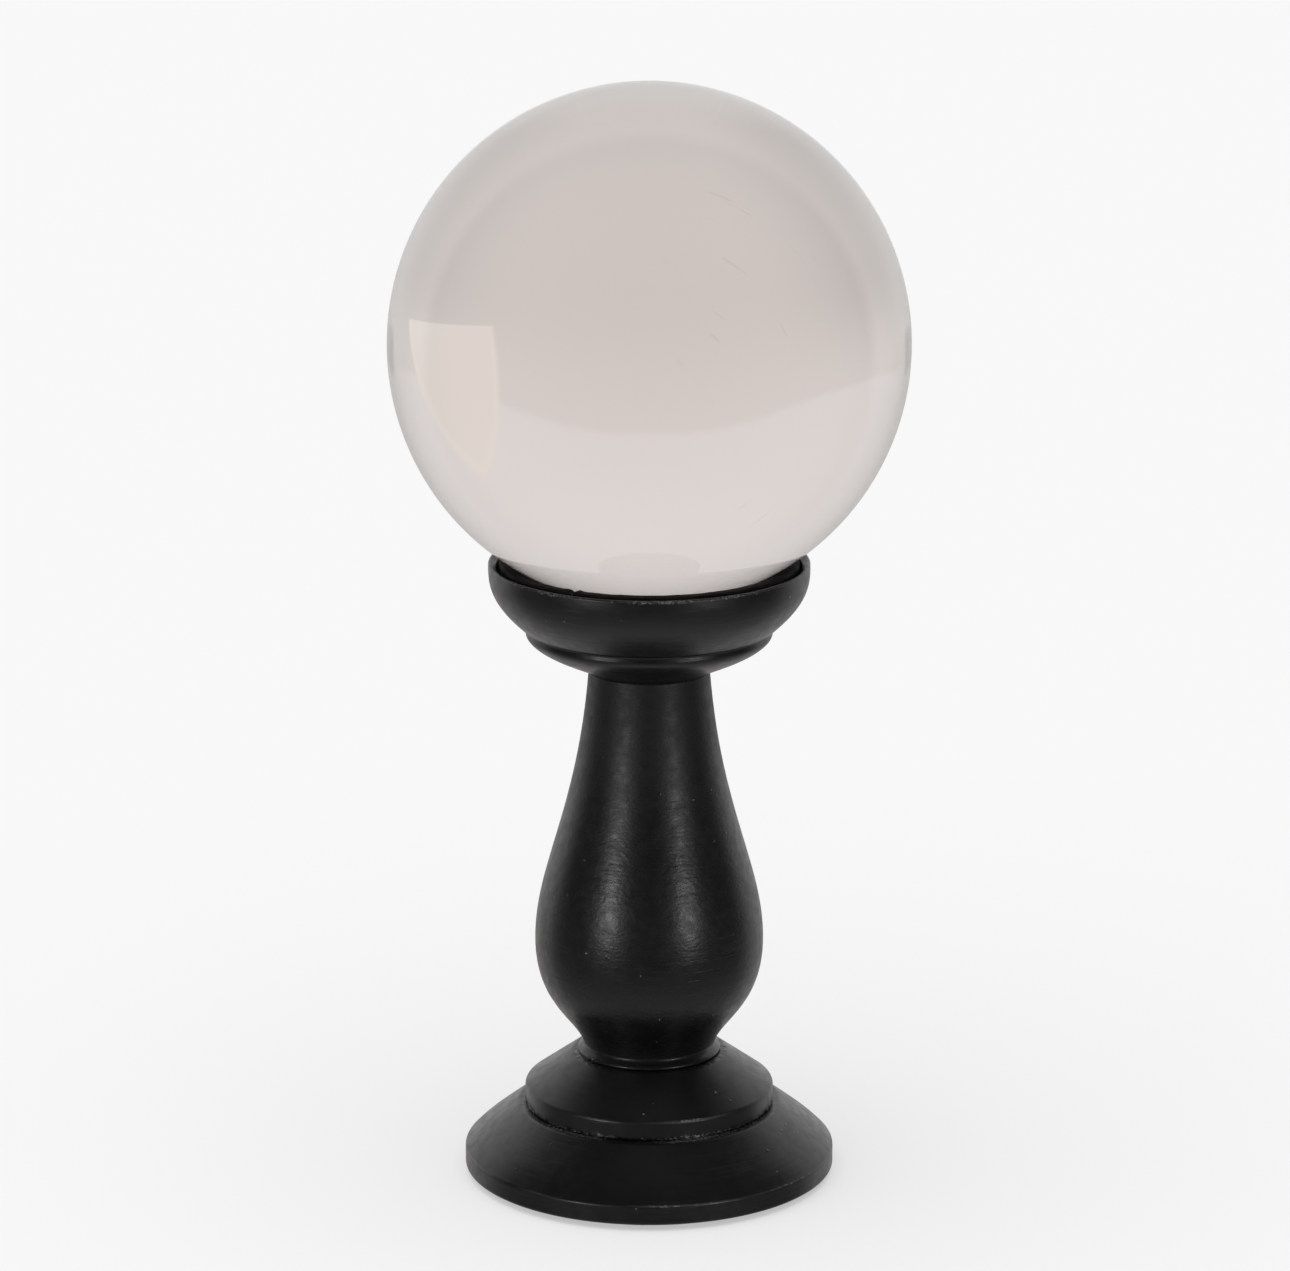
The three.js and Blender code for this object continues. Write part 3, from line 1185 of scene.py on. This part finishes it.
@dataclass
class SeatRing:
    """The flocked ring in the mouth of the cup, cut from a strip whose ends meet in a butt joint."""

    inner: float = 23.7
    outer: float = 32.0
    floor: float = 130.3
    top: float = 135.0
    crown: float = 1.0
    bed_gap: float = 0.3
    bed_steps: int = 26
    joint_angle: float = math.radians(-121)
    joint_width: float = 0.5
    flock_limit: float = 2e-4
    steps: int = 256
    finish: Finish = SoftFinish()

    def outline(self) -> Outline:
        """Draws the section of the ring. Its inner face follows the ball.

        Returns:
            The closed outline.
        """
        bed = DATUM.ball_radius / MM + self.bed_gap
        centre = (DATUM.ball_centre - DATUM.foot) / MM
        brim = math.sqrt(bed**2 - (centre - self.top) ** 2)
        seat = []
        for i in range(self.bed_steps + 1):
            radius = brim + (self.inner - brim) * i / self.bed_steps
            seat.append((radius, centre - math.sqrt(bed**2 - radius**2)))
        profile = Profile((self.inner, self.floor))
        profile.line((self.outer, self.floor), 0.6).line((self.outer, self.top - self.crown), 0.4)
        profile.corner((self.outer, self.top), (self.outer - self.crown, self.top), 7)
        profile.line((brim + 0.12, self.top), 0.25)
        return profile.to(*seat, (self.inner, self.floor)).points

    def part(self, place: Vector, _: Vector) -> Vector:
        """Lowers the butt joint and lifts the cut ends beside it.

        Args:
            place: Where a vertex is.

        Returns:
            Its new place.
        """
        angle = math.atan2(place.y, place.x) - self.joint_angle
        angle = (angle + math.pi) % FULL_TURN - math.pi
        along = angle * math.hypot(place.x, place.y) / MM
        dip = math.exp(-((along / self.joint_width) ** 2))
        bulge = math.exp(-(((along - 1.1) / 0.8) ** 2)) + 0.5 * math.exp(-(((along + 1.2) / 0.9) ** 2))
        high = max(0.0, (place.z - DATUM.height(self.floor + 1.0)) / MM) / 3.3
        place.z += (0.22 * bulge - 0.9 * dip) * high * MM
        return place

    def flock(self, place: Vector, normal: Vector) -> Vector:
        """Lifts coarse and fine clumps of flock.

        Args:
            place: Where a vertex is.
            normal: Its normal.

        Returns:
            Its new place.
        """
        clump = noise.noise(place / 0.0011) * 5e-5 + noise.noise(place / 0.00045) * 4e-5
        place += normal * (clump - 4e-5)
        place.z = min(place.z, DATUM.height(self.top) + self.flock_limit)
        return place

    def build(self) -> Piece:
        """Cuts, lays and flocks the ring.

        Returns:
            The ring.
        """
        piece = spun("seat_ring_flocked", self.outline(), self.steps, DATUM.foot)
        reshape(piece, self.part)
        reshape(piece, self.flock)
        keep(piece, self.finish, Body.SEAT, "seat_ring")
        return piece


@dataclass
class GlassBall:
    """The solid ball, ground and polished."""

    cuts: int = 90
    finish: Finish = ClearGlass()

    def build(self) -> Piece:
        """Rounds a finely cut cube into the ball.

        Returns:
            The ball.
        """
        select_only(None)
        radius = DATUM.ball_radius
        bpy.ops.mesh.primitive_cube_add(size=2 * radius, location=(0, 0, 0))
        piece = bpy.context.active_object
        piece.name = "glass_ball"
        piece.data.name = "glass_ball"
        bpy.ops.object.mode_set(mode="EDIT")
        bpy.ops.mesh.subdivide(number_cuts=self.cuts)
        bpy.ops.object.mode_set(mode="OBJECT")
        centre = Vector((0, 0, DATUM.ball_centre))
        for vertex in piece.data.vertices:
            even = Vector(math.tan(part / radius * math.pi / 4) for part in vertex.co)
            vertex.co = centre + even.normalized() * radius
        piece.data.update()
        select_only(piece)
        bpy.ops.object.shade_smooth()
        return keep(piece, self.finish, Body.BALL, "crystal_ball")


# Out of sight: screws, washer, dowels and pad.


@dataclass
class WoodScrew:
    """A countersunk wood screw with a cross recess."""

    title: str
    node: str
    radius: float
    length: float
    head_radius: float
    head_height: float
    pitch: float
    upward: bool
    core: float = 0.68
    shank: float = 0.3
    rim: float = 0.3
    thread_step: float = 0.16
    recess_arms: tuple[Spot, ...] = ((1.1, 0.24), (0.24, 1.1))
    recess_depth: float = 0.8
    recess_taper: float = 0.55
    steps: int = 40
    finish: Finish = ZincSteel()

    def outline(self) -> Outline:
        """Draws from the tip to the face, with the face at 0 and the tip below.

        Returns:
            The outline, which starts and ends on the axis.
        """
        root, head, tip, edge = self.radius * 0.999, self.head_radius, -self.length, self.rim
        profile = Profile((0.0, tip), 0.8).to((root * 0.3, tip + 0.9))
        profile.line((root, tip + 3.4), self.thread_step).line((root, tip * self.shank), self.thread_step)
        profile.line((root, -self.head_height)).line((head, -edge), 0.4)
        profile.corner((head, 0.0), (head - edge, 0.0), 4).line((0.0, 0.0))
        return profile.points

    def thread(self, place: Vector, _: Vector) -> Vector:
        """Cuts a sharp helical thread below the plain shank.

        Args:
            place: Where a vertex is.

        Returns:
            Its new place.
        """
        shank_end = -self.length * self.shank
        height = place.z / MM
        if height < shank_end and math.hypot(place.x, place.y) >= 1e-7:
            turn = math.atan2(place.y, place.x) / FULL_TURN
            phase = (height / self.pitch - turn) % 1.0
            crest = max(0.0, 1.0 - abs(phase - 0.5) * 3.2)
            fade = min(1.0, (shank_end - height) / 1.5)
            scale = 1.0 - (1.0 - self.core) * (1.0 - crest) * fade
            place.x *= scale
            place.y *= scale
        return place

    def sink_recess(self, piece: Piece) -> None:
        """Sinks a tapered cross into the face.

        Args:
            piece: The screw, with its face at 0.
        """
        for width, depth in self.recess_arms:
            select_only(None)
            bpy.ops.mesh.primitive_cube_add(size=1.0, location=(0, 0, 0))
            cutter = bpy.context.active_object
            deep = self.head_height * self.recess_depth
            size = (self.head_radius * width, self.head_radius * depth, 2 * deep)
            bpy.ops.transform.resize(value=tuple(part * MM for part in size))
            bpy.ops.object.transform_apply(location=False, rotation=False, scale=True)
            for vertex in cutter.data.vertices:
                if vertex.co.z < 0:
                    vertex.co.x *= self.recess_taper
                    vertex.co.y *= self.recess_taper
            select_only(piece)
            tool = piece.modifiers.new("recess", "BOOLEAN")
            tool.operation = "DIFFERENCE"
            tool.solver = "EXACT"
            tool.object = cutter
            bpy.ops.object.modifier_apply(modifier=tool.name)
            bpy.data.objects.remove(cutter, do_unlink=True)

    def build(self) -> Piece:
        """Turns, threads, stamps and places the screw.

        Returns:
            The screw.
        """
        low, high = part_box(self.node)
        piece = spun(self.title, self.outline(), self.steps, 0.0)
        reshape(piece, self.thread)
        self.sink_recess(piece)
        if self.upward:
            reshape(piece, lambda place, _: Vector((place.x, -place.y, low[2] - place.z)))
        else:
            reshape(piece, lambda place, _: Vector((place.x, place.y, high[2] + place.z)))
        smooth(piece)
        return keep(piece, self.finish, Body.STAND, self.node)


@dataclass
class CupWasher:
    """The pressed washer that carries the head of the long screw."""

    inner: float = 2.75
    mouth: float = 4.8
    outer: float = 7.0
    face: float = 0.8
    seat: float = 3.4
    steps: int = 64
    finish: Finish = ZincSteel()

    def outline(self) -> Outline:
        """Draws the section of the washer.

        Returns:
            The closed outline.
        """
        rim, seat = self.outer, self.seat
        profile = Profile((self.mouth, self.face))
        profile.curve((5.3, self.face - 0.02), (6.5, 1.1), (rim - 0.2, 2.8), 0.25)
        profile.corner((rim, 3.1), (rim, seat), 4).to((self.inner, seat), (self.inner, seat - 0.25))
        return profile.line((self.mouth, self.face), 0.4).points

    def build(self) -> Piece:
        """Presses and plates the washer."""
        piece = spun("cup_washer_pressed", self.outline(), self.steps, DATUM.foot)
        return keep(piece, self.finish, Body.STAND, "base_washer")


@dataclass
class Dowel:
    """A fluted beech dowel between the two discs of the base."""

    title: str
    node: str
    radius: float = 3.0
    chamfer: float = 0.7
    flutes: int = 12
    flute_depth: float = 0.16
    steps: int = 72
    finish: Finish = Beech()

    def flute(self, place: Vector, _: Vector) -> Vector:
        """Cuts the flutes.

        Args:
            place: Where a vertex is.

        Returns:
            Its new place.
        """
        radius = math.hypot(place.x, place.y) / MM
        if radius >= self.radius - self.chamfer - 0.01:
            wave = 0.5 - 0.5 * math.cos(self.flutes * math.atan2(place.y, place.x))
            scale = 1.0 - self.flute_depth * wave**3 / radius
            place.x *= scale
            place.y *= scale
        return place

    def build(self) -> Piece:
        """Cuts, flutes and places the dowel.

        Returns:
            The dowel.
        """
        low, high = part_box(self.node)
        length = (high[2] - low[2]) / MM
        rim, edge = self.radius, self.chamfer
        profile = Profile((0.0, 0.0), 0.6).line((rim - edge, 0.0)).line((rim, edge), 0.3)
        profile.line((rim, length - edge)).line((rim - edge, length), 0.3).line((0.0, length))
        piece = spun(self.title, profile.points, self.steps, low[2])
        reshape(piece, self.flute)
        beside = Vector(((low[0] + high[0]) / 2, 0, 0))
        reshape(piece, lambda place, _: place + beside)
        smooth(piece)
        return keep(piece, self.finish, Body.STAND, self.node)


@dataclass
class FootPad:
    """The felt disc under the foot."""

    edge: float = 0.35
    fluffy: float = 0.6
    steps: int = 144
    finish: Finish = GREEN_FELT

    def build(self) -> Piece:
        """Cuts the pad and lets its edge fluff up.

        Returns:
            The pad.
        """
        low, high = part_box("foot_pad")
        rim, edge = high[0] / MM, self.edge
        thick = (high[2] - low[2]) / MM

        def fluff(place: Vector, _: Vector) -> Vector:
            """Fluffs the edge and dents the faces, within the pad's thickness.

            Args:
                place: Where a vertex is.

            Returns:
                Its new place.
            """
            radius = math.hypot(place.x, place.y) / MM
            if radius > rim - self.fluffy:
                swell = noise.noise(place / 0.0009) * 1.2e-4
                place.x *= 1 + swell / (radius * MM)
                place.y *= 1 + swell / (radius * MM)
            dent = noise.noise(place / 0.004) * 3e-5
            place.z = min(high[2], max(low[2], place.z + dent))
            return place

        profile = Profile((0.0, 0.0), 0.7).line((rim - edge, 0.0)).corner((rim, 0.0), (rim, edge))
        profile.line((rim, thick - edge), 0.2).corner((rim, thick), (rim - edge, thick)).line((0.0, thick))
        piece = spun("felt_foot_pad", profile.points, self.steps, low[2])
        reshape(piece, fluff)
        keep(piece, self.finish, Body.STAND, "foot_pad")
        return piece


# The studio.


@dataclass
class Room(Recipe):
    """The room round the object, painted by direction.

    Light that comes through the glass sees a pale table, a brighter backdrop and a white card at the back
    right. Gloss sees the bright backdrop behind and the dim room in front.
    """

    open_air: Colour = (0.95, 0.95, 0.95)
    fill: Colour = (0.46, 0.46, 0.46)
    front_low: Colour = (0.10, 0.10, 0.10)
    front_high: Colour = (0.05, 0.05, 0.052)
    gloss_table: Colour = (0.34, 0.335, 0.33)
    gloss_table_near: Colour = (0.56, 0.555, 0.55)
    back: Colour = (0.92, 0.925, 0.925)
    back_low: Colour = (0.62, 0.61, 0.60)
    back_high: Colour = (0.66, 0.655, 0.65)
    table: Colour = (0.894, 0.890, 0.890)
    backdrop: Colour = (1.012, 1.020, 1.040)
    gap: Colour = (0.45, 0.45, 0.45)
    card: Colour = (1.05, 1.03, 1.01)
    card_fringe: Colour = (1.10, 1.065, 1.015)
    fringe_width: float = 0.045
    card_side: float = 0.418
    card_top: float = 0.234
    card_bottom: float = -0.266
    card_blur: float = 0.03

    def __post_init__(self) -> None:
        """Reads the direction: backward, upward, and the angle round from straight behind to the right."""
        way = self.add("ShaderNodeTexCoord").outputs["Generated"]
        x, self.y, self.z = self.add("ShaderNodeSeparateXYZ", {0: way}).outputs
        self.azimuth = self.math("ARCTAN2", x, self.y)
        self.aside = self.math("ABSOLUTE", self.azimuth)

    def paint(self) -> None:
        """Shows each kind of ray its picture of the room."""
        path = self.add("ShaderNodeLightPath").outputs
        gloss = self.seen_in_gloss()
        turned_back = self.math("MINIMUM", path["Glossy Depth"], 1.0)
        through = self.mix(turned_back, self.seen_through_glass(), gloss)
        colour = self.mix(path["Is Diffuse Ray"], self.open_air, self.fill)
        colour = self.mix(path["Is Glossy Ray"], colour, gloss)
        colour = self.mix(path["Is Transmission Ray"], colour, through)
        shown = self.add("ShaderNodeBackground", {"Color": colour, "Strength": 1.0})
        self.add("ShaderNodeOutputWorld", {"Surface": shown.outputs[0]})

    def seen_in_gloss(self) -> Socket:
        """Paints a bright backdrop behind, a dim room in front and the table below.

        Returns:
            The colour that gloss sees.
        """
        room = self.mix(self.ramp(self.z, -0.1, 0.5), self.front_low, self.front_high)
        room = self.mix(self.ramp(self.z, -0.22, -0.62), room, self.gloss_table)
        room = self.mix(self.ramp(self.z, -0.6, -0.95), room, self.gloss_table_near)
        back = self.mix(self.ramp(self.z, 0.0, -0.3), self.back, self.back_low)
        back = self.mix(self.ramp(self.z, 0.45, 0.85), back, self.back_high)
        return self.mix(self.ramp(self.y, 0.31, 0.50), room, back)

    def seen_through_glass(self) -> Socket:
        """Paints the table, the backdrop, the dark gaps far to the sides and the white card.

        Returns:
            The colour that light through the glass sees.
        """
        tone = {0: self.table, "Scale": self.table_falls()}
        table = self.add("ShaderNodeVectorMath", tone, operation="SCALE").outputs[0]
        bow = self.ramp(self.aside, 0.08, 0.55, 0.012, -0.041)
        bow = self.plus(bow, self.ramp(self.aside, 0.75, 1.2, 0.0, 0.04))
        seen = self.mix(self.ramp(self.less(self.z, bow), -0.014, 0.014), table, self.backdrop)
        gap = self.times(
            self.ramp(self.z, -0.13, -0.09),
            self.ramp(self.z, 0.07, 0.03),
            self.ramp(self.aside, 1.2, 1.27, 0.0, 0.6),
            self.ramp(self.aside, 1.55, 1.5),
        )
        seen = self.mix(gap, seen, self.gap)
        seen = self.mix(self.card_mask(self.fringe_width), seen, self.card_fringe)
        return self.mix(self.card_mask(0.0), seen, self.card)

    def table_falls(self) -> Socket:
        """Makes the light on the table fall off to the sides and toward the object.

        Returns:
            The factor on the table's tone.
        """
        right = self.ramp(self.azimuth, 0.3, 1.1, 0.0, 0.16)
        left = self.ramp(self.azimuth, -0.2, -1.0, 0.0, 0.20)
        side = self.times(
            self.plus(right, left),
            self.ramp(self.z, -0.05, -0.38, 0.15, 1.0),
            self.ramp(self.z, -0.97, -0.80),
            self.ramp(self.aside, 2.6, 1.6),
        )
        return self.times(
            self.less(1.0, side),
            self.ramp(self.z, -0.42, -0.88, 1.0, 0.95),
            self.ramp(self.z, -0.35, 0.0, 1.0, 1.075),
            self.ramp(self.aside, 1.0, 1.35, 1.0, 1.1),
        )

    def card_mask(self, border: float) -> Socket:
        """Masks the white card at the back right. Its top edge falls away to the side.

        Args:
            border: How far the mask spreads past the card, in radians.

        Returns:
            The mask.
        """
        bend = self.math("POWER", self.math("ABSOLUTE", self.plus(self.z, 0.08)), 2.0)
        lean = self.less(self.azimuth, self.times(bend, 1.2))
        start = self.card_side - border / 3
        left = self.ramp(lean, start, start + self.card_blur)
        drop = self.math("POWER", self.math("MAXIMUM", self.less(self.azimuth, 0.45), 0.0), 2.0)
        high = self.card_top + border
        top = self.ramp(self.plus(self.z, self.times(drop, 1.55)), high, high - 0.02 - self.card_blur)
        rise = self.less(self.z, self.times(self.azimuth, 0.06))
        bottom = self.ramp(rise, self.card_bottom, self.card_bottom + 0.008)
        return self.times(left, self.times(top, bottom))


@dataclass
class Studio:
    """The camera, the pale floor and the soft light round the object."""

    camera_place: tuple[float, float, float] = (-0.0009, -1.1038, 0.4169)
    camera_tilt: float = math.radians(74.93)
    lens: float = 150.0
    sensor: float = 36.0
    floor_size: float = 30.0
    floor_tone: Colour = (0.42, 0.418, 0.415)
    floor_glow: float = 0.47
    sun_energy: float = 2.1
    sun_angle: float = math.radians(80)
    sun_tilt: Spot = (math.radians(12), math.radians(-6))
    strips: tuple[tuple[str, float, float], ...] = (("strip_left", -42.0, 2.9), ("strip_right", 40.0, 2.3))
    strip_size: Spot = (0.22, 0.32)
    strip_distance: float = 1.3
    strip_height: float = 0.18
    strip_aim: float = 0.08

    def place(self, name: str, data: bpy.types.ID) -> Piece:
        """Puts a camera or a light into the scene.

        Args:
            name: Its name.
            data: Its data.

        Returns:
            The object that holds it.
        """
        thing = bpy.data.objects.new(name, data)
        bpy.context.scene.collection.objects.link(thing)
        return thing

    def set_camera(self) -> None:
        """Puts the camera in front and a little above."""
        camera = self.place("camera", bpy.data.cameras.new("camera"))
        camera.location = self.camera_place
        camera.rotation_euler = (self.camera_tilt, 0, 0)
        camera.data.lens = self.lens
        camera.data.sensor_width = self.sensor
        camera.data.sensor_fit = "HORIZONTAL"
        camera.data.clip_end = 100
        bpy.context.scene.camera = camera

    def lay_floor(self) -> None:
        """Lays the plain floor. Gloss sees the studio instead of it."""
        select_only(None)
        bpy.ops.mesh.primitive_plane_add(size=self.floor_size, location=(0, 0, 0))
        floor = bpy.context.active_object
        floor.name = "floor"
        material = bpy.data.materials.new("floor_paper")
        material.use_nodes = True
        shader = material.node_tree.nodes["Principled BSDF"].inputs
        shader["Base Color"].default_value = rgba(self.floor_tone)
        shader["Roughness"].default_value = 1.0
        shader["Specular IOR Level"].default_value = 0.0
        shader["Emission Color"].default_value = rgba(WHITE)
        shader["Emission Strength"].default_value = self.floor_glow
        material.cycles.emission_sampling = "NONE"
        floor.data.materials.append(material)
        floor.visible_glossy = False
        floor.visible_transmission = False

    def hang_lights(self, stand: list[Piece]) -> None:
        """Hangs the overhead light, and the upright strips that shine on the stand from in front.

        Args:
            stand: The pieces that the strips shine on.
        """
        sun = self.place("overhead", bpy.data.lights.new("overhead", "SUN"))
        sun.data.energy = self.sun_energy
        sun.data.angle = self.sun_angle
        sun.rotation_euler = (*self.sun_tilt, 0)
        sun.visible_glossy = False
        sun.visible_transmission = False
        lit = bpy.data.collections.new("strip_lit")
        for piece in stand:
            lit.objects.link(piece)
        for name, degrees, watts in self.strips:
            strip = self.place(name, bpy.data.lights.new(name, "AREA"))
            strip.data.shape = "RECTANGLE"
            strip.data.size, strip.data.size_y = self.strip_size
            strip.data.energy = watts
            azimuth = math.radians(degrees)
            across, back = math.sin(azimuth), -math.cos(azimuth)
            spot = Vector((across * self.strip_distance, back * self.strip_distance, self.strip_height))
            strip.location = spot
            aim = spot - Vector((0, 0, self.strip_aim))
            strip.rotation_euler = aim.to_track_quat("Z", "Y").to_euler()
            strip.light_linking.receiver_collection = lit

    def paint_world(self) -> None:
        """Puts the painted room round the object."""
        world = bpy.data.worlds.new("studio")
        bpy.context.scene.world = world
        world.use_nodes = True
        world.node_tree.nodes.clear()
        Room(world.node_tree).paint()

    def develop(self) -> None:
        """Keeps tones as they fall and lets light pass through the ball."""
        scene = bpy.context.scene
        scene.view_settings.view_transform = "Standard"
        scene.view_settings.look = "None"
        scene.cycles.max_bounces = 16
        scene.cycles.transmission_bounces = 12
        scene.cycles.glossy_bounces = 6
        scene.cycles.caustics_reflective = False
        scene.cycles.caustics_refractive = True
        scene.cycles.blur_glossy = 0.0


def main() -> None:
    """Builds the object piece by piece, then the studio round it."""
    logging.basicConfig(level=logging.INFO, format="%(name)s: %(message)s")
    studio = Studio()
    studio.set_camera()
    stand = [turning().build() for turning in (Foot, Plinth, Pillar, Cup)]
    ring = SeatRing().build()
    GlassBall().build()
    WoodScrew("cup_screw_threaded", "cup_screw", 2.0, 30.0, 4.0, 2.2, 1.8, upward=False).build()
    WoodScrew("base_screw_threaded", "base_screw", 2.25, 60.0, 4.4, 2.5, 2.2, upward=True).build()
    CupWasher().build()
    Dowel("dowel_left_fluted", "locating_dowel_left").build()
    Dowel("dowel_right_fluted", "locating_dowel_right").build()
    FootPad().build()
    studio.lay_floor()
    studio.hang_lights([*stand, ring])
    studio.paint_world()
    studio.develop()
    LOG.info("sizes written")


if __name__ == "__main__":
    main()
